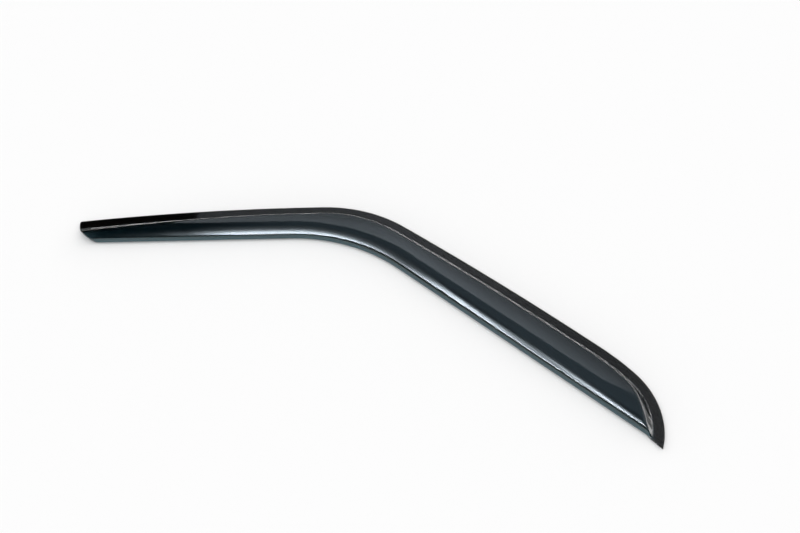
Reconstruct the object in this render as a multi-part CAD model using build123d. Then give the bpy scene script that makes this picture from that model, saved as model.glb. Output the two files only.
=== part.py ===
"""Stick-on window rain deflector for a car's front door.

One sheet of smoked acrylic, formed into a flat flange, a sloped step and a crowned shell that rolls over
to a free edge, with a strip of double-sided foam tape under the flange.

Frame: the adhesive face of the tape lies in z = 0, with the origin under the middle of the sheet's box.
+Z points away from the door, +X runs forward along the roof arm, and +Y points up the door. Lengths are in
millimetres and angles in degrees.
"""
import os
from math import acos, atan2, cos, degrees, radians, sin, tan

from build123d import *

# Sheet and tape
SHEET = 3.0
TAPE_THICKNESS = 1.1
TAPE_WIDTH = 12.0
TAPE_EDGE_GAP = 1.5
TAPE_END_GAP = 5.0

# Outer edge of the flange: tangent arcs from the blunt rear end, over the bend, to the rounded nose
ROOF_HEADING = 8.0
ROOF_LENGTH = 384.5
ROOF_TURN = 6.75
BEND_RADIUS = 206.0
BEND_TURN = 38.2
PILLAR_LENGTH = 356.0
PILLAR_TURN = 4.25
NOSE_ENTRY_RADIUS = 327.0
NOSE_ENTRY_TURN = 9.8
NOSE_RADIUS = 108.0

# Free edge: its distance from the outer edge along both arms, and the radius between them
WIDTH_BLUNT = 44.0
WIDTH_ROOF = 64.0
WIDTH_PILLAR = 69.5
WIDTH_NOSE = 76.5
FREE_BEND_RADIUS = 248.0

# Flange and step: the flange is wider by the flare at the blunt end, and the step lies back at both ends.
# Each millimetre of height moves the step inward by the blunt splay there, and takes the nose splay off its
# nose radius
FLANGE_WIDTH = 15.0
FLANGE_FLARE = 2.3
STEP_SLOPE = 55.0
BLUNT_SPLAY = 0.5
NOSE_SPLAY = 1.5
STEP_TOP_RADIUS = 5.0
STEP_FOOT_RADIUS = 2.0

# Section of the shell, from the free edge inward: lip, thinning to its edge, crest, shoulder and crown
FREE_EDGE_HEIGHT = 3.0
LIP_LENGTH = 6.5
LIP_SLOPE = 65.0
LIP_TAPER = 11.0
CREST_RADIUS = 6.0
CREST_SLOPE = 28.0
SHOULDER_RADIUS = 60.0
SHOULDER_SLOPE = 8.0
CROWN_RADIUS = 250.0
CROWN_FALL = 2.0

# Trimmed ends and the rounding of the outer edge
BLUNT_CORNER_RADIUS = 42.0
FLANGE_CORNER_RADIUS = 4.0
TIP_RUN = 24.0
TIP_TURN = 7.5
EDGE_RADIUS = 0.8

# How far construction faces run past the sheet, and how near a point on an outline lies to it
MARGIN = 60.0
TOUCH = 0.05

FLANGE_TOP = TAPE_THICKNESS + SHEET


def along(heading):
    """Unit vector in the direction of a heading."""
    return Vector(cos(radians(heading)), sin(radians(heading)))


def inward(heading):
    """Unit vector from the outer edge towards the free edge, where the edge has this heading."""
    return Vector(sin(radians(heading)), -cos(radians(heading)))


def arm_arcs(flare=0):
    """Radius and turn of each arc from the blunt end to the nose, the roof arm swung inward by the flare."""
    roof_turn = ROOF_TURN + degrees(2 * flare / ROOF_LENGTH)
    return [
        (ROOF_LENGTH / radians(roof_turn), roof_turn),
        (BEND_RADIUS, BEND_TURN),
        (PILLAR_LENGTH / radians(PILLAR_TURN), PILLAR_TURN),
        (NOSE_ENTRY_RADIUS, NOSE_ENTRY_TURN),
    ]


def arc_starts():
    """Point and heading where each arc of the outer edge starts, the nose arc included."""
    point = Vector(0, 0)
    heading = ROOF_HEADING
    starts = [(point, heading)]
    for radius, turn in arm_arcs():
        centre = point + inward(heading) * radius
        heading -= turn
        point = centre - inward(heading) * radius
        starts.append((point, heading))
    return starts


def free_run(first, last, first_width, last_width):
    """Start point and heading of a straight run of the free edge beside one arc of the outer edge."""
    start = first[0] + inward(first[1]) * first_width
    end = last[0] + inward(last[1]) * last_width
    return start, degrees(atan2(end.Y - start.Y, end.X - start.X))


STARTS = arc_starts()
BLUNT_POINT = STARTS[0][0]
ROOF_START, ROOF_RUN = free_run(STARTS[0], STARTS[1], WIDTH_BLUNT, WIDTH_ROOF)
PILLAR_START, PILLAR_RUN = free_run(STARTS[2], STARTS[3], WIDTH_PILLAR, WIDTH_NOSE)
FREE_TURN = ROOF_RUN - PILLAR_RUN


def nose_turn():
    """Turn of the nose arc from its start to where it meets the free edge's line."""
    start, heading = STARTS[-1]
    centre = start + inward(heading) * NOSE_RADIUS
    beyond = (centre - PILLAR_START).dot(inward(PILLAR_RUN))
    return heading - PILLAR_RUN + degrees(acos(beyond / NOSE_RADIUS))


def outer_edge(inset, flare=0, nose_cut=0):
    """The outer edge moved inward by inset, and run on past both ends.

    The flare moves it further inward at the blunt end, and the nose cut is off the nose's radius.
    """
    arcs = arm_arcs(flare) + [(NOSE_RADIUS - nose_cut, nose_turn())]
    bend_point, bend_heading = STARTS[1]
    heading = bend_heading + arcs[0][1]
    point = bend_point + (inward(bend_heading) - inward(heading)) * arcs[0][0] + inward(heading) * inset
    edges = [Line(point - along(heading) * MARGIN, point)]
    for radius, turn in arcs:
        edges.append(JernArc(point, along(heading), radius - inset, -turn))
        point = edges[-1] @ 1
        heading -= turn
    edges.append(Line(point, point + along(heading) * MARGIN))
    return edges


def region_inside(edges):
    """Face on the free edge's side of an outline."""
    first = edges[0] @ 0
    last = edges[-1] @ 1
    corner = first + inward(ROOF_HEADING) * (last - first).length
    return make_face(edges + [Line(last, corner), Line(corner, first)])


def past_blunt_end(gap):
    """Face over everything behind the blunt end's straight cut, moved forward by gap."""
    origin = BLUNT_POINT + along(ROOF_HEADING) * gap
    plane = Plane(origin, x_dir=along(ROOF_HEADING), z_dir=(0, 0, 1))
    return plane * Rectangle(3 * MARGIN, 6 * MARGIN, align=(Align.MAX, Align.CENTER))


def past_free_edge(gap):
    """Face over everything past the pillar run of the free edge, moved inward by gap."""
    origin = PILLAR_START - inward(PILLAR_RUN) * gap
    plane = Plane(origin, x_dir=along(PILLAR_RUN), z_dir=(0, 0, 1))
    return plane * Rectangle(3 * PILLAR_LENGTH, 3 * MARGIN, align=(Align.MIN, Align.MAX))


def band(near_edges, far_edges):
    """Face of a band between two outlines, run on past both ends."""
    ends = [Line(near_edges[0] @ 0, far_edges[0] @ 0), Line(near_edges[-1] @ 1, far_edges[-1] @ 1)]
    return make_face(near_edges + far_edges + ends)


def step_outline(height, depth):
    """Outline of the step's sloped wall at a height, on the surface at a depth under its outer one."""
    slope = radians(STEP_SLOPE)
    rise = height - FLANGE_TOP
    inset = FLANGE_WIDTH + rise / tan(slope) + depth / sin(slope)
    lean = rise + depth * cos(slope)
    return outer_edge(inset, FLANGE_FLARE + BLUNT_SPLAY * lean, NOSE_SPLAY * lean)


def inside_step(depth):
    """Solid inside the step's sloped wall."""
    regions = []
    for height in (-MARGIN / 2, MARGIN / 2):
        regions.append(Pos(0, 0, height) * region_inside(step_outline(height, depth)))
    return loft(regions, ruled=True)


def shell_section(depth, base):
    """Section under the shell at a depth under its outer surface, cut flat at the base height.

    Its x runs from the free edge towards the outer edge, and its y is height.
    """
    slope = LIP_SLOPE - LIP_TAPER * depth / SHEET
    lip = along(slope)
    lip_end = Vector(0, FREE_EDGE_HEIGHT) + along(LIP_SLOPE) * LIP_LENGTH
    crest_start = lip_end + inward(LIP_SLOPE) * CREST_RADIUS - inward(slope) * (CREST_RADIUS - depth)
    bottom = crest_start + lip * ((base - crest_start.Y) / lip.Y)
    edges = [Line(bottom, crest_start)]
    bends = [(CREST_RADIUS, CREST_SLOPE), (SHOULDER_RADIUS, SHOULDER_SLOPE), (CROWN_RADIUS, -CROWN_FALL)]
    for radius, end_slope in bends:
        edges.append(JernArc(edges[-1] @ 1, along(slope), radius - depth, end_slope - slope))
        slope = end_slope
    top = edges[-1] @ 1
    end = top + along(slope) * MARGIN
    corner = Vector(end.X, base)
    edges += [Line(top, end), Line(end, corner), Line(corner, bottom)]
    return make_face(edges)


def section_plane(point, heading):
    """Plane across the free edge, facing along it, with local x towards the outer edge."""
    return Plane(point, x_dir=-inward(heading), z_dir=along(heading))


def under_shell(depth, base):
    """Solid under the shell: its section carried along the roof run, the bend and the pillar run."""
    section = shell_section(depth, base)
    across = inward(PILLAR_RUN)
    to_knee = (PILLAR_START - ROOF_START).dot(across) / along(ROOF_RUN).dot(across)
    tangent_length = FREE_BEND_RADIUS * tan(radians(FREE_TURN / 2))
    knee = ROOF_START + along(ROOF_RUN) * to_knee
    bend_start = knee - along(ROOF_RUN) * tangent_length
    bend_end = knee + along(PILLAR_RUN) * tangent_length
    bend_axis = Axis(bend_start + inward(ROOF_RUN) * FREE_BEND_RADIUS, (0, 0, -1))
    roof_length = to_knee - tangent_length + MARGIN / 2
    pillar_length = (STARTS[-1][0] - bend_end).length + 2 * MARGIN
    roof = extrude(section_plane(bend_start, ROOF_RUN) * section, roof_length, dir=-along(ROOF_RUN))
    bend = revolve(section_plane(bend_start, ROOF_RUN) * section, bend_axis, FREE_TURN)
    pillar = extrude(section_plane(bend_end, PILLAR_RUN) * section, pillar_length, dir=along(PILLAR_RUN))
    return roof + bend + pillar


def step_edges(solid, depth, lowest, highest):
    """Edges of a solid that run along the step's sloped wall, between two heights."""
    found = []
    for edge in solid.edges():
        middle = edge @ 0.5
        runs_along = abs((edge % 0.5).Z) < sin(radians(STEP_SLOPE)) / 2
        if runs_along and lowest <= middle.Z <= highest:
            wall = Wire(step_outline(middle.Z, depth))
            if wall.distance_to(Vertex(middle.X, middle.Y, 0)) < TOUCH:
                found.append(edge)
    return found


def shell_solid(depth, base, top_radius):
    """Solid under the shell and the step at a depth under their outer surface, rounded where they meet."""
    solid = under_shell(depth, base) & inside_step(depth)
    return fillet(step_edges(solid, depth, FLANGE_TOP + SHEET, MARGIN), top_radius)


def corner_waste(start, heading, radius, turn):
    """Face outside a rounded corner, whose arc leaves start with a heading and turns left."""
    arc = JernArc(start, along(heading), radius, turn)
    end = arc @ 1
    start_side = start + inward(heading) * MARGIN
    end_side = end + inward(heading + turn) * MARGIN
    return make_face([arc, Line(end, end_side), Line(end_side, start_side), Line(start_side, start)])


def blunt_end_waste():
    """Solid that the blunt end's trim takes away: a straight cut with two rounded corners."""
    end_cut = ROOF_HEADING - 90
    lower_turn = ROOF_RUN - end_cut
    lower_start = ROOF_START - inward(ROOF_HEADING) * BLUNT_CORNER_RADIUS * tan(radians(lower_turn / 2))
    upper_start = BLUNT_POINT + along(ROOF_HEADING) * FLANGE_CORNER_RADIUS
    lower = corner_waste(lower_start, end_cut, BLUNT_CORNER_RADIUS, lower_turn)
    upper = corner_waste(upper_start, end_cut - 90, FLANGE_CORNER_RADIUS, 90)
    return extrude(past_blunt_end(0) + lower + upper, MARGIN, both=True)


def tip_waste():
    """Solid that the tip's trim takes away: all past a line that turns outward from the free edge's line."""
    start, heading = STARTS[-1]
    tip = start + (inward(heading) - inward(heading - nose_turn())) * NOSE_RADIUS
    pivot = tip - along(PILLAR_RUN) * TIP_RUN
    plane = Plane(pivot, x_dir=along(PILLAR_RUN - TIP_TURN), z_dir=(0, 0, 1))
    face = plane * Rectangle(3 * MARGIN, 3 * MARGIN, align=(Align.MIN, Align.MAX))
    return extrude(face, MARGIN, both=True)


def flange_plate():
    """Plate from the door up to the flange's upper face, run on past both ends, with a rounded rim."""
    plate = extrude(band(outer_edge(0), step_outline(FLANGE_TOP, SHEET)), FLANGE_TOP)
    rim = Pos(0, 0, FLANGE_TOP) * Wire(outer_edge(0))
    rim_edges = [edge for edge in plate.edges() if rim.distance_to(Vertex(edge @ 0.5)) < TOUCH]
    return fillet(rim_edges, EDGE_RADIUS)


def make_visor():
    """The formed and trimmed acrylic sheet: all under its outer face, less all under its inner face."""
    outer = flange_plate() + shell_solid(0, FREE_EDGE_HEIGHT, STEP_TOP_RADIUS)
    outer = fillet(step_edges(outer, 0, FLANGE_TOP - TOUCH, FLANGE_TOP + TOUCH), STEP_FOOT_RADIUS)
    door_face = region_inside(outer_edge(-MARGIN))
    door_side = extrude(door_face, TAPE_THICKNESS) + extrude(door_face, -MARGIN)
    inner = door_side + shell_solid(SHEET, -MARGIN, STEP_TOP_RADIUS - SHEET)
    foot_edges = step_edges(inner, SHEET, TAPE_THICKNESS - TOUCH, TAPE_THICKNESS + TOUCH)
    inner = fillet(foot_edges, STEP_FOOT_RADIUS + SHEET)
    return outer - inner - blunt_end_waste() - tip_waste()


def make_tape():
    """The foam tape under the flange."""
    face = band(outer_edge(TAPE_EDGE_GAP), outer_edge(TAPE_EDGE_GAP + TAPE_WIDTH))
    return extrude(face - past_blunt_end(TAPE_END_GAP) - past_free_edge(TAPE_END_GAP), TAPE_THICKNESS)


def main():
    visor = make_visor()
    middle = visor.bounding_box().center()
    centred = Pos(-middle.X, -middle.Y, 0)
    os.makedirs("parts", exist_ok=True)
    export_step(centred * visor, "parts/visor.step")
    export_step(centred * make_tape(), "parts/mounting_tape.step")


if __name__ == "__main__":
    main()
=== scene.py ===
"""Looks of a stick-on window rain deflector.

Smoked acrylic over foam tape, on a white table under softboxes.
"""
from math import acos, atan2, cos, degrees, pi, radians, sin, tan

import bpy
import numpy as np
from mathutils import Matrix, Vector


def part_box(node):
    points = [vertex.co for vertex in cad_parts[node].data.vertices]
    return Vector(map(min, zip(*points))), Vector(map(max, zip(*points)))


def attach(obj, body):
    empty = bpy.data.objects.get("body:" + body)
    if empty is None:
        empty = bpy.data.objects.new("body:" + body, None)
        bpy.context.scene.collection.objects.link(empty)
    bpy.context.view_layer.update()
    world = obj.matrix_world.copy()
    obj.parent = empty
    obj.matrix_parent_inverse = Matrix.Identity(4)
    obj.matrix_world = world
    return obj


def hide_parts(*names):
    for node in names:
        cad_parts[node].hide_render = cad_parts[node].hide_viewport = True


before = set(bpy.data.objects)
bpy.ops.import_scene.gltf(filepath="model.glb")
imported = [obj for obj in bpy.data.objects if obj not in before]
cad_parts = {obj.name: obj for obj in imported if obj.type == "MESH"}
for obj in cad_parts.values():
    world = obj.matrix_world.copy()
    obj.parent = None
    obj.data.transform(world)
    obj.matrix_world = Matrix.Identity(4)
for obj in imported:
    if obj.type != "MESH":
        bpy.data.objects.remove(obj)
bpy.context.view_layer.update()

# Sheet, in millimetres and degrees, as the solid has it
SHEET = 3.0
UNDERSIDE = 1.1
FLANGE_TOP = UNDERSIDE + SHEET

# Outer edge of the flange: tangent arcs from the blunt rear end, over the bend, to the rounded nose
ROOF_HEADING = 8.0
ROOF_LENGTH = 384.5
ROOF_TURN = 6.75
BEND_RADIUS = 206.0
BEND_TURN = 38.2
PILLAR_LENGTH = 356.0
PILLAR_TURN = 4.25
NOSE_ENTRY_RADIUS = 327.0
NOSE_ENTRY_TURN = 9.8
NOSE_RADIUS = 108.0

# Free edge: its distance from the outer edge along both arms, and the radius between them
WIDTH_BLUNT = 44.0
WIDTH_ROOF = 64.0
WIDTH_PILLAR = 69.5
WIDTH_NOSE = 76.5
FREE_BEND_RADIUS = 248.0

# Flange and step, which lies back at both ends
FLANGE_WIDTH = 15.0
FLANGE_FLARE = 2.3
STEP_SLOPE = 55.0
BLUNT_SPLAY = 0.5
NOSE_SPLAY = 1.5
STEP_TOP_RADIUS = 5.0
STEP_FOOT_RADIUS = 2.0

# Section of the shell, from the free edge inward
FREE_EDGE_HEIGHT = 3.0
LIP_LENGTH = 6.5
LIP_SLOPE = 65.0
LIP_TAPER = 11.0
CREST_RADIUS = 6.0
CREST_SLOPE = 28.0
SHOULDER_RADIUS = 60.0
SHOULDER_SLOPE = 8.0
CROWN_RADIUS = 250.0
CROWN_FALL = 2.0

# Trimmed ends and rounded edges
BLUNT_CORNER_RADIUS = 42.0
FLANGE_CORNER_RADIUS = 4.0
TIP_RUN = 24.0
TIP_TURN = 7.5
RIM_RADIUS = 0.8
LIP_EDGE_RADIUS = 0.5

# Inset past which the step's wall at the nose is far above the shell
NOSE_DEEPEST = 45.0

# Spacing of the mesh along the outer edge
ARM_STEP = 5.0
NOSE_STEP = 1.2
CORNER_STEPS = 26
TIP_STEPS = 9

# Lines of the mesh across the sheet. Three numbers are the first line, the end and the spacing: from the
# outer edge for the flange and the step, and from the free edge for the lip, the crest and the shoulder.
# The crown's lines lie evenly in the room between them
ROUNDING_LINES = 6
FLANGE_LINES = [2, 4, 6, 8, 10, 11.5, 12.5]
STEP_FOOT_LINES = (13.2, 20, 0.4)
STEP_TOP_LINES = (20, 34, 0.5)
LIP_LINES = (0.75, 2.75, 0.35)
CREST_LINES = (2.75, 5.6, 0.2)
SHOULDER_LINES = (5.8, 26, 0.8)
CROWN_LINES = 14
CROWN_ROOM = 4.0

# Calculation: rounds of a search, the step of a slope, its distance from an edge, and what counts as nothing
SEARCH_ROUNDS = 30
SLOPE_STEP = 1e-4
SLOPE_MARGIN = 20 * SLOPE_STEP
ROUND_OFF = 1e-6
LEAST_LENGTH = 1e-9
WELD_DIGITS = 4

# Material slots, the width of the lip's band with its painted glow, and the flange's margin by the step that
# has no grain
BODY_SLOT = 0
FLANGE_SLOT = 1
LIP_GLOW_SLOT = 2
LIP_GLOW_REACH = 3.0
GRAIN_MARGIN = 1.0

# Smoked acrylic: a millimetre dims red, green and blue light by e to the power of 1.0, 0.79 and 0.73
ACRYLIC_IOR = 1.49
SMOKE_COLOUR = (0.2, 0.37, 0.42)
SMOKE_DENSITY = 1250.0
CLEAR = 1.0
WHITE = (1.0, 1.0, 1.0)

# Where it differs: the lip is thinner and has a teal diffuse share in its colour, a painted glow that stands
# in for light coming through it from the lit table, and the flange has a duller gloss
# Teal base colour of the lip: painted glow for light shining through it from the table
LIP_PAINTED_GLOW = (0.24, 0.45, 0.52)
LIP_DENSITY = 600.0
LIP_CLEARNESS = 0.88
FLANGE_GLOSS = (0.68, 0.63, 0.6)

# Fine noise: its cells in a metre, the roughness that it gives, and the part of its own range that is used
GLOSS_GRAIN = 60
GLOSS_ROUGHNESS = (0.012, 0.022)
FLANGE_GRAIN = 1400
FLANGE_ROUGHNESS = (0.03, 0.07)
NOISE_DETAIL = 3
NOISE_RANGE = (0.35, 0.65)

# Foam tape
FOAM_GRAIN = 900
FOAM_DARK = (0.018, 0.018, 0.02)
FOAM_LIGHT = (0.045, 0.045, 0.048)
FOAM_ROUGHNESS = 0.8
PIT_STRENGTH = 0.4
PIT_DEPTH = 0.0002

# Camera, in metres: looking along +Y and down
CAMERA_PLACE = (0.07998, -0.63657, 0.92985)
CAMERA_ELEVATION = 52.0
CAMERA_LENS = 35.0

# Table, ceiling light and world, in metres. The world's level goes with the height of the direction
FLOOR_SIZE = 10.0
FLOOR_LEVEL = -0.0002
FLOOR_COLOUR = (0.9, 0.9, 0.9)
FLOOR_ROUGHNESS = 0.9
CEILING_SIZE = 20.0
CEILING_HEIGHT = 1.6
CEILING_RADIANCE = 1.0
WORLD_STOPS = [(0.05, 1), (0.2, 0.8), (0.35, 0.15), (0.6, 0.03)]

# Upright strip lights: the back one for the step's rounding, the side one for its wall at the nose
BACK_PLACE = (1.0, 2.2, 0.25)
BACK_TURN = -20.0
BACK_SIZE = (6.0, 0.5)
BACK_RADIANCE = 5.0
SIDE_PLACE = (2.6, 0.1, 0.3)
SIDE_TURN = -90.0
SIDE_SIZE = (2.0, 0.6)
SIDE_RADIANCE = 4.0

# Panels that the gloss shows, in metres. The overhead one makes the long highlight, the one between makes the
# dark zone, and the far one makes the grey zone and lights the flange. Stops are (place, level). A panel's
# level goes by X and across lines that follow the part: they turn at a place on X, and run on at a slope.
# A bulge moves these lines away from the camera, by a share of its reach
PANEL_HEIGHT = 0.6
OVERHEAD_OUTLINE = [(-0.60, -0.60), (0.598, -0.60), (-0.115, 0.22), (-0.60, 0.22)]
OVERHEAD_STRENGTH = 32.0
OVERHEAD_TINT = (0.88, 1.0, 1.1)
OVERHEAD_TURN = (-0.115, 1.15)
OVERHEAD_ACROSS = [
    (-0.6, 1), (-0.02, 1), (0.02, 0.65), (0.065, 0.28), (0.10, 0.1), (0.15, 0.04), (0.22, 0.02),
]
OVERHEAD_BY_X = [
    (-0.60, 0), (-0.47, 0.02), (-0.425, 0.08), (-0.40, 0.08), (-0.33, 0.45), (-0.29, 0.8), (-0.235, 0.85),
    (-0.19, 0.78), (-0.12, 0.68), (-0.07, 0.46), (-0.04, 0.3), (0.0, 0.22), (0.05, 0.2), (0.07, 0.27),
    (0.11, 0.52), (0.14, 0.85), (0.2, 0.7), (0.24, 0.3), (0.3, 0.15),
]
OVERHEAD_BULGE = [(-0.60, 0), (-0.06, 0), (0.03, 1), (0.09, 1), (0.15, 0.2), (0.2, 0)]
BULGE_REACH = 0.05
NO_BULGE = [(-0.60, 0), (1.8, 0)]
BETWEEN_OUTLINE = [
    (-0.60, 0.22), (-0.115, 0.22), (0.598, -0.60), (1.10, -0.60),
    (0.62, 0.04), (0.40, 0.06), (0.0, 0.39), (-0.60, 0.39),
]
BETWEEN_STRENGTH = 0.65
BETWEEN_TINT = (0.75, 0.97, 1.15)
BETWEEN_ACROSS = [(-0.6, 1), (1.2, 1)]
BETWEEN_BY_X = [(-0.38, 0.1), (-0.15, 0.75), (0.05, 1), (1.1, 1)]
FAR_OUTLINE = [
    (-0.45, 0.40), (0.0, 0.39), (0.40, 0.06), (0.62, 0.04),
    (1.10, -0.60), (1.8, -0.60), (1.8, 1.5), (-0.45, 1.5),
]
FAR_STRENGTH = 2.2
FAR_TINT = (0.92, 1.04, 1.15)
FAR_TURN = (0.0, 0.9)
FAR_ACROSS = [(0.35, 1), (0.42, 0.95), (0.55, 0.62), (0.68, 0.5), (0.75, 0.52), (2.5, 0.5)]
FAR_BY_X = [
    (-0.45, 0.7), (-0.1, 0.8), (0.05, 1), (0.3, 0.92), (0.5, 0.72), (0.6, 0.72), (0.68, 1), (1.8, 1),
]


def along(heading):
    """Unit vectors in the direction of headings."""
    turned = np.radians(heading)
    return np.stack([np.cos(turned), np.sin(turned)], -1)


def inward(heading):
    """Unit vectors from the outer edge towards the free edge, where the edge has these headings."""
    turned = np.radians(heading)
    return np.stack([np.sin(turned), -np.cos(turned)], -1)


def arm_arcs():
    """Radius and turn of the arcs of the outer edge, up to the nose arc."""
    return [
        (ROOF_LENGTH / radians(ROOF_TURN), ROOF_TURN),
        (BEND_RADIUS, BEND_TURN),
        (PILLAR_LENGTH / radians(PILLAR_TURN), PILLAR_TURN),
        (NOSE_ENTRY_RADIUS, NOSE_ENTRY_TURN),
    ]


def arc_starts():
    """Point and heading where each arc of the outer edge starts, the nose arc included."""
    point = np.zeros(2)
    heading = ROOF_HEADING
    starts = [(point, heading)]
    for radius, turn in arm_arcs():
        centre = point + inward(heading) * radius
        heading -= turn
        point = centre - inward(heading) * radius
        starts.append((point, heading))
    return starts


def free_run(first, last, first_width, last_width):
    """Start point and heading of a straight run of the free edge beside one arc of the outer edge."""
    start = first[0] + inward(first[1]) * first_width
    end = last[0] + inward(last[1]) * last_width
    return start, degrees(atan2(end[1] - start[1], end[0] - start[0]))


STARTS = arc_starts()
ROOF_START, ROOF_RUN = free_run(STARTS[0], STARTS[1], WIDTH_BLUNT, WIDTH_ROOF)
PILLAR_START, PILLAR_RUN = free_run(STARTS[2], STARTS[3], WIDTH_PILLAR, WIDTH_NOSE)


def free_edge_frame():
    """Start, end and centre of the free edge's bend."""
    across = inward(PILLAR_RUN)
    to_knee = (PILLAR_START - ROOF_START) @ across / (along(ROOF_RUN) @ across)
    knee = ROOF_START + along(ROOF_RUN) * to_knee
    tangent = FREE_BEND_RADIUS * tan(radians((ROOF_RUN - PILLAR_RUN) / 2))
    bend_start = knee - along(ROOF_RUN) * tangent
    bend_end = knee + along(PILLAR_RUN) * tangent
    return bend_start, bend_end, bend_start + inward(ROOF_RUN) * FREE_BEND_RADIUS


BEND_START, BEND_END, BEND_CENTRE = free_edge_frame()


def from_free_edge(points):
    """Distance of points from the free edge, and the unit vectors in which it grows."""
    before = (points - BEND_START) @ along(ROOF_RUN) < 0
    after = (points - BEND_END) @ along(PILLAR_RUN) > 0
    spoke = points - BEND_CENTRE
    reach = np.linalg.norm(spoke, axis=-1)
    distance = reach - FREE_BEND_RADIUS
    distance = np.where(before, (BEND_START - points) @ inward(ROOF_RUN), distance)
    distance = np.where(after, (BEND_END - points) @ inward(PILLAR_RUN), distance)
    direction = spoke / reach[..., None]
    direction = np.where(before[..., None], -inward(ROOF_RUN), direction)
    direction = np.where(after[..., None], -inward(PILLAR_RUN), direction)
    return distance, direction


def nose_turn():
    """Turn of the nose arc from its start to where it meets the free edge's line."""
    start, heading = STARTS[-1]
    centre = start + inward(heading) * NOSE_RADIUS
    beyond = (centre - PILLAR_START) @ inward(PILLAR_RUN)
    return heading - PILLAR_RUN + degrees(acos(beyond / NOSE_RADIUS))


NOSE_TURN = nose_turn()
NOSE_START = sum(radius * radians(turn) for radius, turn in arm_arcs())


def trim_line():
    """Point and heading of the tip's trim line, the nose arc's end, and how far the edge runs on past it."""
    start, heading = STARTS[-1]
    end_heading = heading - NOSE_TURN
    tip = start + (inward(heading) - inward(end_heading)) * NOSE_RADIUS
    pivot = tip - along(PILLAR_RUN) * TIP_RUN
    across = inward(PILLAR_RUN - TIP_TURN)
    return pivot, PILLAR_RUN - TIP_TURN, tip, (pivot - tip) @ across / (along(end_heading) @ across)


def stations():
    """Points, headings and travel along the outer edge, close together at both ends."""
    corner = BLUNT_CORNER_RADIUS * (1 - np.cos(np.linspace(0, pi / 2, CORNER_STEPS)))
    points = []
    headings = []
    travels = []
    gone = 0.0
    arcs = arm_arcs() + [(NOSE_RADIUS, NOSE_TURN)]
    for number, (radius, turn) in enumerate(arcs):
        length = radius * radians(turn)
        spacing = NOSE_STEP if number == len(arcs) - 1 else ARM_STEP
        along_arc = np.arange(0, length, spacing)
        if number == 0:
            along_arc = np.concatenate([corner, np.arange(corner[-1] + spacing, length, spacing)])
        start, heading = STARTS[number]
        turned = heading - np.degrees(along_arc / radius)
        points.append(start + inward(heading) * radius - inward(turned) * radius)
        headings.append(turned)
        travels.append(gone + along_arc)
        gone += length
    _, _, tip, run_on = trim_line()
    past = run_on * np.sin(np.linspace(0, pi / 2, TIP_STEPS))
    end_heading = np.full(TIP_STEPS, STARTS[-1][1] - NOSE_TURN)
    points.append(tip + along(end_heading) * past[:, None])
    headings.append(end_heading)
    travels.append(gone + past)
    return np.concatenate(points), np.concatenate(headings), np.concatenate(travels)


def section_height(distance, depth):
    """Height of the shell at distances from the free edge, on the surface at a depth under its outer one."""
    slope = LIP_SLOPE - LIP_TAPER * depth / SHEET
    lip_end = np.array([0, FREE_EDGE_HEIGHT]) + along(LIP_SLOPE) * LIP_LENGTH
    x, z = lip_end + inward(LIP_SLOPE) * CREST_RADIUS - inward(slope) * (CREST_RADIUS - depth)
    height = z + (distance - x) * tan(radians(slope))
    bends = [(CREST_RADIUS, CREST_SLOPE), (SHOULDER_RADIUS, SHOULDER_SLOPE), (CROWN_RADIUS, -CROWN_FALL)]
    for radius, end_slope in bends:
        bend = radius - depth
        centre_x, centre_z = np.array([x, z]) + inward(slope) * bend
        rise = np.sqrt(np.maximum(bend**2 - (distance - centre_x) ** 2, 0))
        height = np.where(distance >= x, centre_z + rise, height)
        x, z = np.array([centre_x, centre_z]) - inward(end_slope) * bend
        slope = end_slope
    return np.where(distance >= x, z + (distance - x) * tan(radians(slope)), height)


def blend_min(a, b, reach):
    """The lower of two heights, rounded where they cross, by a quarter of the reach at most."""
    near = np.maximum(reach - np.abs(a - b), 0) / reach
    return np.minimum(a, b) - near**2 * reach / 4


def rounding(radius):
    """Reach of blend_min for a fillet between the step and a level face."""
    half = radians(STEP_SLOPE / 2)
    side = radius * tan(half)
    return 4 * (radius - np.sqrt(radius**2 - side**2))


def lip_edge():
    """Centre of the free edge's rounding, as a distance from the free edge and a height."""
    return LIP_EDGE_RADIUS / tan(radians(LIP_SLOPE / 2)), FREE_EDGE_HEIGHT + LIP_EDGE_RADIUS


def end_turns(travel):
    """How far stations lie towards the blunt end, from 0 to 1, and their turn round the nose."""
    back = (np.maximum(ROOF_LENGTH - travel, 0) / ROOF_LENGTH) ** 2
    return back, np.clip((travel - NOSE_START) / NOSE_RADIUS, 0, radians(NOSE_TURN))


def step_height(inset, travel, depth):
    """Height of the step's sloped wall, on the surface at a depth under its outer one.

    Round the nose the wall's level lines are circles, which shrink as they rise and move towards the start of
    the nose arc. The rise at a point is then the root of a quadratic.
    """
    slope = radians(STEP_SLOPE)
    run = 1 / tan(slope)
    lag = depth * cos(slope)
    foot = FLANGE_WIDTH + depth / sin(slope)
    back, turned = end_turns(travel)
    rise = (inset - foot - (FLANGE_FLARE + BLUNT_SPLAY * lag) * back) / (run + BLUNT_SPLAY * back)
    reach = NOSE_RADIUS - np.minimum(inset, NOSE_DEEPEST)
    toward = reach * np.cos(turned)
    left = NOSE_RADIUS - foot
    square = run * (run + 2 * NOSE_SPLAY)
    linear = run * NOSE_SPLAY * lag - left * (run + NOSE_SPLAY) + NOSE_SPLAY * toward
    rest = left * (left - 2 * NOSE_SPLAY * lag) + 2 * NOSE_SPLAY * lag * toward - reach**2
    nose_rise = (-linear - np.sqrt(np.maximum(linear**2 - square * rest, 0))) / square
    return FLANGE_TOP + np.where(turned > 0, nose_rise, rise)


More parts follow.
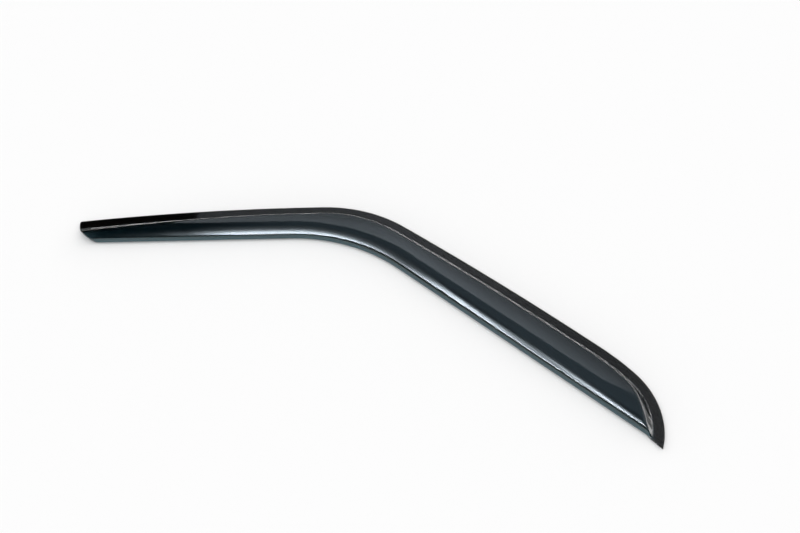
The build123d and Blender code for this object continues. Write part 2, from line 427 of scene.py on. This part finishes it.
def plate_width(travel):
    """Inset of the plate's inner edge, where the step's inner wall is as high as the flange."""
    slope = radians(STEP_SLOPE)
    lag = SHEET * cos(slope)
    width = FLANGE_WIDTH + SHEET / sin(slope)
    back, turned = end_turns(travel)
    shift = NOSE_SPLAY * lag
    radius = NOSE_RADIUS - shift - width
    reach = shift * np.cos(turned) + np.sqrt(radius**2 - (shift * np.sin(turned)) ** 2)
    return np.where(turned > 0, NOSE_RADIUS - reach, width + (FLANGE_FLARE + BLUNT_SPLAY * lag) * back)


def top_height(inset, travel, distance):
    """Height of the outer face, from the inset from the outer edge and the distance from the free edge."""
    shell = section_height(distance, 0)
    edge_x, edge_z = lip_edge()
    tangent = edge_x - LIP_EDGE_RADIUS * sin(radians(LIP_SLOPE))
    arc = edge_z + np.sqrt(np.maximum(LIP_EDGE_RADIUS**2 - (distance - edge_x) ** 2, 0))
    shell = np.where((distance < tangent) & (distance > 0), arc, shell)
    height = blend_min(step_height(inset, travel, 0), shell, rounding(STEP_TOP_RADIUS))
    rim = np.sqrt(np.maximum(RIM_RADIUS**2 - np.maximum(RIM_RADIUS - inset, 0) ** 2, 0)) - RIM_RADIUS
    joined = -blend_min(-height, -(FLANGE_TOP + rim), rounding(STEP_FOOT_RADIUS))
    return np.where(inset < plate_width(travel), joined, height)


def underside_height(inset, travel, distance):
    """Height of the inner face and of the free edge's lower side."""
    shell = section_height(distance, SHEET)
    height = blend_min(step_height(inset, travel, SHEET), shell, rounding(STEP_TOP_RADIUS - SHEET))
    flange = np.full_like(height, UNDERSIDE)
    height = -blend_min(-height, -flange, rounding(STEP_FOOT_RADIUS + SHEET))
    edge_x, edge_z = lip_edge()
    drop = np.sqrt(np.maximum(LIP_EDGE_RADIUS**2 - np.maximum(edge_x - distance, 0) ** 2, 0))
    return np.where(inset < plate_width(travel), height, np.maximum(height, edge_z - drop))


def reach_to_line(points, directions, distance):
    """How far each point travels along its direction until it is at this distance from the free edge."""
    travel = np.zeros(len(points))
    for _ in range(SEARCH_ROUNDS):
        here, grows = from_free_edge(points + directions * travel[:, None])
        travel -= (here - distance) / (grows * directions).sum(1)
    return travel


def insets(points, headings, travel):
    """First and last inset of the sheet at each station, with its trimmed corners and its tip."""
    across = inward(headings)
    edge_x, _ = lip_edge()
    last = reach_to_line(points, across, edge_x - LIP_EDGE_RADIUS)
    pivot, heading, _, _ = trim_line()
    trimmed = (pivot - points) @ inward(heading) / (across @ inward(heading))
    plate = plate_width(travel)
    last = np.where(last < plate, np.minimum(plate, np.maximum(trimmed, 0)), last)

    forward = along(ROOF_HEADING)
    turn = ROOF_RUN - ROOF_HEADING + 90
    rise = BLUNT_CORNER_RADIUS * tan(radians(turn / 2))
    centre = ROOF_START - inward(ROOF_HEADING) * rise + forward * BLUNT_CORNER_RADIUS
    offset = points - centre
    middle = -(offset * across).sum(1)
    square = middle**2 - (offset**2).sum(1) + BLUNT_CORNER_RADIUS**2
    corner = middle + np.sqrt(np.maximum(square, 0))
    behind = (points + across * corner[:, None] - centre) @ along(ROOF_RUN) < 0
    last = np.where(behind & (square > -ROUND_OFF), np.minimum(corner, last), last)

    short = np.maximum(FLANGE_CORNER_RADIUS - (points - STARTS[0][0]) @ forward, 0)
    first = FLANGE_CORNER_RADIUS - np.sqrt(np.maximum(FLANGE_CORNER_RADIUS**2 - short**2, 0))
    return first, last


def spread(outer_lines, inner_lines, middle_count, first, last):
    """Insets of the mesh's lines at each station: close lines by both edges and even ones between them."""
    room = (last - first)[:, None]
    needed = outer_lines[-1] + inner_lines[-1] + CROWN_ROOM
    squeeze = np.minimum(room / needed, 1)
    outer = first[:, None] + outer_lines * squeeze
    inner = last[:, None] - inner_lines[::-1] * squeeze
    share = np.linspace(0, 1, middle_count + 2)[1:-1]
    middle = outer[:, -1:] + (inner[:, :1] - outer[:, -1:]) * share
    return np.concatenate([outer, middle, inner], 1)


def visor_lines(first, last):
    """Insets of the mesh's lines at each station: rim, flange and step, then the crown, then the lip."""
    quarter = 1 - np.cos(np.linspace(0, pi / 2, ROUNDING_LINES))
    step = np.concatenate([np.arange(*STEP_FOOT_LINES), np.arange(*STEP_TOP_LINES)])
    shell = [np.arange(*LIP_LINES), np.arange(*CREST_LINES), np.arange(*SHOULDER_LINES)]
    outer_lines = np.concatenate([RIM_RADIUS * quarter, FLANGE_LINES, step])
    inner_lines = np.concatenate([LIP_EDGE_RADIUS * quarter, *shell])
    return spread(outer_lines, inner_lines, CROWN_LINES, first, last)


def surface(points, headings, travel, lines, height):
    """Grid of vertices on a face, the gradient of its height there, and the distance from the free edge."""
    across = inward(headings)[:, None]
    flat = points[:, None] + across * lines[..., None]
    distance, grows = from_free_edge(flat)
    travel = travel[:, None]
    edge_x, _ = lip_edge()
    least = edge_x - LIP_EDGE_RADIUS
    z = height(lines, travel, np.maximum(distance, np.where(distance < 0, distance, least)))
    step = SLOPE_STEP
    clear = np.where(distance < 0, distance, np.maximum(distance, least + SLOPE_MARGIN))
    inset = np.maximum(lines, SLOPE_MARGIN)
    by_inset = (height(inset + step, travel, clear) - height(inset - step, travel, clear)) / (2 * step)
    by_travel = (height(inset, travel + step, clear) - height(inset, travel - step, clear)) / (2 * step)
    by_distance = (height(inset, travel, clear + step) - height(inset, travel, clear - step)) / (2 * step)
    tighter = NOSE_RADIUS / (NOSE_RADIUS - np.minimum(lines, NOSE_DEEPEST))
    by_travel = by_travel * np.where(travel > NOSE_START, tighter, 1)
    gradient = by_inset[..., None] * across + by_distance[..., None] * grows
    gradient = gradient + by_travel[..., None] * along(headings)[:, None]
    return np.concatenate([flat, z[..., None]], -1), gradient, distance


def unit(vectors):
    """Vectors at length 1, or shorter where they have next to no length."""
    return vectors / np.maximum(np.linalg.norm(vectors, axis=1), LEAST_LENGTH)[:, None]


def quads(near, far):
    """Faces between two rows or grids of vertex numbers."""
    corners = [near[..., :-1], near[..., 1:], far[..., 1:], far[..., :-1]]
    return np.stack([corner.ravel() for corner in corners], 1)


def wall_faces(above, below):
    """Faces of the outer edge, the free edge and the blunt end, between the grids of both surfaces."""
    outer = quads(above[:, 0], below[:, 0])
    free = quads(below[:, -1], above[:, -1])
    blunt = quads(below[0], above[0])
    return np.concatenate([outer, free, blunt])


def flat_normals(vertices, faces):
    """Normals of faces with four corners, the same at each corner."""
    spot = vertices[faces]
    normals = unit(np.cross(spot[:, 2] - spot[:, 0], spot[:, 3] - spot[:, 1]))
    return np.repeat(normals[:, None], 4, 1)


def face_slots(lines, distance, travel):
    """Material slots of the outer face and of the underside: body, flange or the lip with its painted glow.
    """
    lines = lines[:-1, :-1]
    # The lip band gets the material with the painted teal glow
    on_lip_glow = (distance[:-1, :-1] < LIP_GLOW_REACH) & (lines > plate_width(travel)[:-1, None])
    on_flange = lines < FLANGE_WIDTH - GRAIN_MARGIN
    top_slots = np.where(on_lip_glow, LIP_GLOW_SLOT, np.where(on_flange, FLANGE_SLOT, BODY_SLOT))
    low_slots = np.where(on_lip_glow, LIP_GLOW_SLOT, BODY_SLOT)
    return np.concatenate([top_slots.ravel(), low_slots.ravel()])


def weld(vertices, faces):
    """Vertices with one for each place, and the faces in their numbers."""
    places = np.round(vertices, WELD_DIGITS)
    _, kept, number = np.unique(places, axis=0, return_index=True, return_inverse=True)
    return vertices[kept], number.reshape(-1)[faces]


def fill_box(vertices, lowest, highest):
    """Vertices stretched to fill the box between two corners."""
    share = (vertices - vertices.min(0)) / (vertices.max(0) - vertices.min(0))
    return np.array(lowest) + share * (np.array(highest) - np.array(lowest))


def visor_mesh(name, lowest, highest):
    """The formed sheet as a closed mesh with exact normals, between the corners of its box."""
    points, headings, travel = stations()
    lines = visor_lines(*insets(points, headings, travel))
    top, top_slope, distance = surface(points, headings, travel, lines, top_height)
    low, low_slope, _ = surface(points, headings, travel, lines, underside_height)
    upward = np.ones_like(lines)[..., None]
    top_normals = np.concatenate([-top_slope, upward], -1)
    low_normals = np.concatenate([low_slope, -upward], -1)
    vertices = np.concatenate([top.reshape(-1, 3), low.reshape(-1, 3)])
    normals = unit(np.concatenate([top_normals.reshape(-1, 3), low_normals.reshape(-1, 3)]))

    above = np.arange(lines.size).reshape(lines.shape)
    below = above + lines.size
    sheets = np.concatenate([quads(above[:-1], above[1:]), quads(below[1:], below[:-1])])
    walls = wall_faces(above, below)
    corner_normals = np.concatenate([normals[sheets], flat_normals(vertices, walls)])
    slots = np.concatenate([face_slots(lines, distance, travel), np.full(len(walls), BODY_SLOT)])

    # Faces lose the corners that the weld made one, and those without an area are left out
    vertices, faces = weld(vertices, np.concatenate([sheets, walls]))
    corner_kept = faces != np.roll(faces, -1, 1)
    whole = (corner_kept.sum(1) > 2) & (faces[:, 0] != faces[:, 2]) & (faces[:, 1] != faces[:, 3])
    faces = faces[whole]
    corner_kept = corner_kept[whole]
    corner_normals = corner_normals[whole][corner_kept]
    vertices = fill_box(vertices, lowest, highest)

    mesh = bpy.data.meshes.new(name)
    mesh.from_pydata(vertices.tolist(), [], [face[keep].tolist() for face, keep in zip(faces, corner_kept)])
    mesh.polygons.foreach_set("material_index", slots[whole].astype(np.int32))
    mesh.polygons.foreach_set("use_smooth", np.ones(len(faces), bool))
    mesh.normals_split_custom_set(corner_normals.tolist())
    return mesh


def new_material(name):
    """A node material, its nodes, its links, its Principled shader and its output."""
    material = bpy.data.materials.new(name)
    material.use_nodes = True
    nodes = material.node_tree.nodes
    return material, nodes, material.node_tree.links, nodes["Principled BSDF"], nodes["Material Output"]


def noise_range(nodes, links, grain, span):
    """Fine noise in the object's own metres, as its node, and mapped to a span of values, as an output."""
    place = nodes.new("ShaderNodeTexCoord")
    noise = nodes.new("ShaderNodeTexNoise")
    noise.inputs["Scale"].default_value = grain
    noise.inputs["Detail"].default_value = NOISE_DETAIL
    mapped = nodes.new("ShaderNodeMapRange")
    mapped.inputs["From Min"].default_value = NOISE_RANGE[0]
    mapped.inputs["From Max"].default_value = NOISE_RANGE[1]
    mapped.inputs["To Min"].default_value = span[0]
    mapped.inputs["To Max"].default_value = span[1]
    links.new(place.outputs["Object"], noise.inputs["Vector"])
    links.new(noise.outputs["Fac"], mapped.inputs["Value"])
    return noise, mapped.outputs["Result"]


def smoked_acrylic(name, density, clearness, colour, gloss, grain, roughness_span):
    """Clear acrylic whose smoke tint grows with the length of the light's way through it."""
    material, nodes, links, shader, output = new_material(name)
    # Where clearness is under 1, the base colour also shows as diffuse: on the lip that is a painted glow
    shader.inputs["Base Color"].default_value = (*colour, 1)
    shader.inputs["Specular Tint"].default_value = (*gloss, 1)
    shader.inputs["Transmission Weight"].default_value = clearness
    shader.inputs["IOR"].default_value = ACRYLIC_IOR
    _, roughness = noise_range(nodes, links, grain, roughness_span)
    links.new(roughness, shader.inputs["Roughness"])
    smoke = nodes.new("ShaderNodeVolumeAbsorption")
    smoke.inputs["Color"].default_value = (*SMOKE_COLOUR, 1)
    smoke.inputs["Density"].default_value = density
    links.new(smoke.outputs["Volume"], output.inputs["Volume"])
    return material


def foam_tape():
    """Dark closed-cell foam: mottled, with small pits."""
    material, nodes, links, shader, _ = new_material("foam_tape_look")
    noise, mottle = noise_range(nodes, links, FOAM_GRAIN, (0, 1))
    colour = nodes.new("ShaderNodeMix")
    colour.data_type = "RGBA"
    colour.inputs["A"].default_value = (*FOAM_DARK, 1)
    colour.inputs["B"].default_value = (*FOAM_LIGHT, 1)
    pits = nodes.new("ShaderNodeBump")
    pits.inputs["Strength"].default_value = PIT_STRENGTH
    pits.inputs["Distance"].default_value = PIT_DEPTH
    links.new(mottle, colour.inputs["Factor"])
    links.new(colour.outputs["Result"], shader.inputs["Base Color"])
    links.new(noise.outputs["Fac"], pits.inputs["Height"])
    links.new(pits.outputs["Normal"], shader.inputs["Normal"])
    shader.inputs["Roughness"].default_value = FOAM_ROUGHNESS
    return material


def area_light(name, place, size, radiance):
    """A rectangle of light that the camera doesn't see."""
    width, height = size
    data = bpy.data.lights.new(name, "AREA")
    data.shape = "RECTANGLE"
    data.size = width
    data.size_y = height
    data.energy = radiance * pi * width * height
    light = bpy.data.objects.new(name, data)
    light.location = place
    light.visible_camera = False
    bpy.context.scene.collection.objects.link(light)
    return light


def make_ceiling():
    """The broad even light over the table, which the gloss doesn't show."""
    place = (0, 0, CEILING_HEIGHT)
    ceiling = area_light("ceiling", place, (CEILING_SIZE, CEILING_SIZE), CEILING_RADIANCE)
    ceiling.visible_glossy = False


def make_strip(name, place, turn, size, radiance):
    """A low upright strip light that only reflections show, turned about the vertical."""
    strip = area_light(name, place, size, radiance)
    strip.rotation_euler = (radians(-90), 0, radians(turn))
    strip.visible_diffuse = False
    strip.visible_transmission = False


def ramp(nodes, links, value, stops):
    """A curve through stops of a value, as a colour ramp; stops are (value, level)."""
    low = stops[0][0]
    high = stops[-1][0]
    share = nodes.new("ShaderNodeMapRange")
    share.inputs["From Min"].default_value = low
    share.inputs["From Max"].default_value = high
    links.new(value, share.inputs["Value"])
    curve = nodes.new("ShaderNodeValToRGB")
    elements = curve.color_ramp.elements
    while len(elements) < len(stops):
        elements.new(0.5)
    for element, (place, level) in zip(elements, stops):
        element.position = (place - low) / (high - low)
        element.color = (level, level, level, 1)
    links.new(share.outputs["Result"], curve.inputs["Fac"])
    return curve.outputs["Color"]


def calculated(nodes, links, operation, *terms):
    """Output of a Math node, whose terms are numbers or outputs of other nodes."""
    node = nodes.new("ShaderNodeMath")
    node.operation = operation
    for socket, term in zip(node.inputs, terms):
        if isinstance(term, bpy.types.NodeSocket):
            links.new(term, socket)
        else:
            socket.default_value = term
    return node.outputs["Value"]


def glow_panel(name, outline, strength, tint, turn, across_stops, x_stops, bulge_stops):
    """A level sheet of light that only reflections show.

    Its level goes with the distance from the camera's side, along lines that turn at a place with a slope as
    the pillar arm does, and with the place from left to right.
    """
    mesh = bpy.data.meshes.new(name)
    mesh.from_pydata([(x, y, PANEL_HEIGHT) for x, y in outline], [], [list(range(len(outline)))])
    panel = bpy.data.objects.new(name, mesh)
    material, nodes, links, shader, output = new_material(name)
    nodes.remove(shader)
    place = nodes.new("ShaderNodeTexCoord")
    split = nodes.new("ShaderNodeSeparateXYZ")
    links.new(place.outputs["Object"], split.inputs["Vector"])
    x = split.outputs["X"]
    turn_place, turn_slope = turn
    past = calculated(nodes, links, "SUBTRACT", x, turn_place)
    right = calculated(nodes, links, "MAXIMUM", past, 0)
    turned = calculated(nodes, links, "MULTIPLY_ADD", right, turn_slope, split.outputs["Y"])
    bulge = ramp(nodes, links, x, bulge_stops)
    reach = calculated(nodes, links, "MULTIPLY_ADD", bulge, -BULGE_REACH, turned)
    across = ramp(nodes, links, reach, across_stops)
    sideways = ramp(nodes, links, x, x_stops)
    level = calculated(nodes, links, "MULTIPLY", across, sideways)
    glow = nodes.new("ShaderNodeEmission")
    glow.inputs["Color"].default_value = (*tint, 1)
    links.new(calculated(nodes, links, "MULTIPLY", level, strength), glow.inputs["Strength"])
    links.new(glow.outputs["Emission"], output.inputs["Surface"])
    mesh.materials.append(material)
    panel.visible_camera = False
    panel.visible_diffuse = False
    panel.visible_transmission = False
    panel.visible_shadow = False
    bpy.context.scene.collection.objects.link(panel)


def make_world():
    """White low down, where the step's rounding looks, and dark overhead."""
    world = bpy.data.worlds.new("studio")
    world.use_nodes = True
    nodes = world.node_tree.nodes
    links = world.node_tree.links
    place = nodes.new("ShaderNodeTexCoord")
    split = nodes.new("ShaderNodeSeparateXYZ")
    links.new(place.outputs["Generated"], split.inputs["Vector"])
    links.new(ramp(nodes, links, split.outputs["Z"], WORLD_STOPS), nodes["Background"].inputs["Color"])
    bpy.context.scene.world = world


def make_floor():
    """The plain table top, without gloss."""
    bpy.ops.mesh.primitive_plane_add(size=FLOOR_SIZE, location=(0, 0, FLOOR_LEVEL))
    floor = bpy.context.object
    floor.name = "floor"
    material, _, _, shader, _ = new_material("floor_white")
    shader.inputs["Base Color"].default_value = (*FLOOR_COLOUR, 1)
    shader.inputs["Roughness"].default_value = FLOOR_ROUGHNESS
    shader.inputs["Specular IOR Level"].default_value = 0
    floor.data.materials.append(material)


def make_camera():
    """The camera at the photograph's viewing angle."""
    data = bpy.data.cameras.new("camera")
    data.lens = CAMERA_LENS
    camera = bpy.data.objects.new("camera", data)
    camera.location = CAMERA_PLACE
    camera.rotation_euler = (radians(90 - CAMERA_ELEVATION), 0, 0)
    bpy.context.scene.collection.objects.link(camera)
    bpy.context.scene.camera = camera


def make_visor():
    """The formed sheet, with its materials in the order of the slots."""
    mesh = visor_mesh("visor_sheet", *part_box("visor"))
    looks = [
        ("acrylic_body", SMOKE_DENSITY, CLEAR, WHITE, WHITE, GLOSS_GRAIN, GLOSS_ROUGHNESS),
        ("acrylic_flange", SMOKE_DENSITY, CLEAR, WHITE, FLANGE_GLOSS, FLANGE_GRAIN, FLANGE_ROUGHNESS),
        # The lip's teal base colour is a painted glow for light coming through it from the table
        ("acrylic_lip_painted_glow", LIP_DENSITY, LIP_CLEARNESS, LIP_PAINTED_GLOW, WHITE, GLOSS_GRAIN, GLOSS_ROUGHNESS),
    ]
    for look in looks:
        mesh.materials.append(smoked_acrylic(*look))
    visor = bpy.data.objects.new("visor_sheet", mesh)
    bpy.context.scene.collection.objects.link(visor)
    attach(visor, "root")
    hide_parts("visor")


make_visor()
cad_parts["mounting_tape"].material_slots[0].material = foam_tape()

make_world()
make_floor()
make_ceiling()
glow_panel(
    "overhead",
    OVERHEAD_OUTLINE,
    OVERHEAD_STRENGTH,
    OVERHEAD_TINT,
    OVERHEAD_TURN,
    OVERHEAD_ACROSS,
    OVERHEAD_BY_X,
    OVERHEAD_BULGE,
)
glow_panel(
    "between",
    BETWEEN_OUTLINE,
    BETWEEN_STRENGTH,
    BETWEEN_TINT,
    OVERHEAD_TURN,
    BETWEEN_ACROSS,
    BETWEEN_BY_X,
    NO_BULGE,
)
glow_panel("far", FAR_OUTLINE, FAR_STRENGTH, FAR_TINT, FAR_TURN, FAR_ACROSS, FAR_BY_X, NO_BULGE)
make_strip("back", BACK_PLACE, BACK_TURN, BACK_SIZE, BACK_RADIANCE)
make_strip("side", SIDE_PLACE, SIDE_TURN, SIDE_SIZE, SIDE_RADIANCE)
make_camera()

bpy.context.scene.view_settings.view_transform = "Standard"
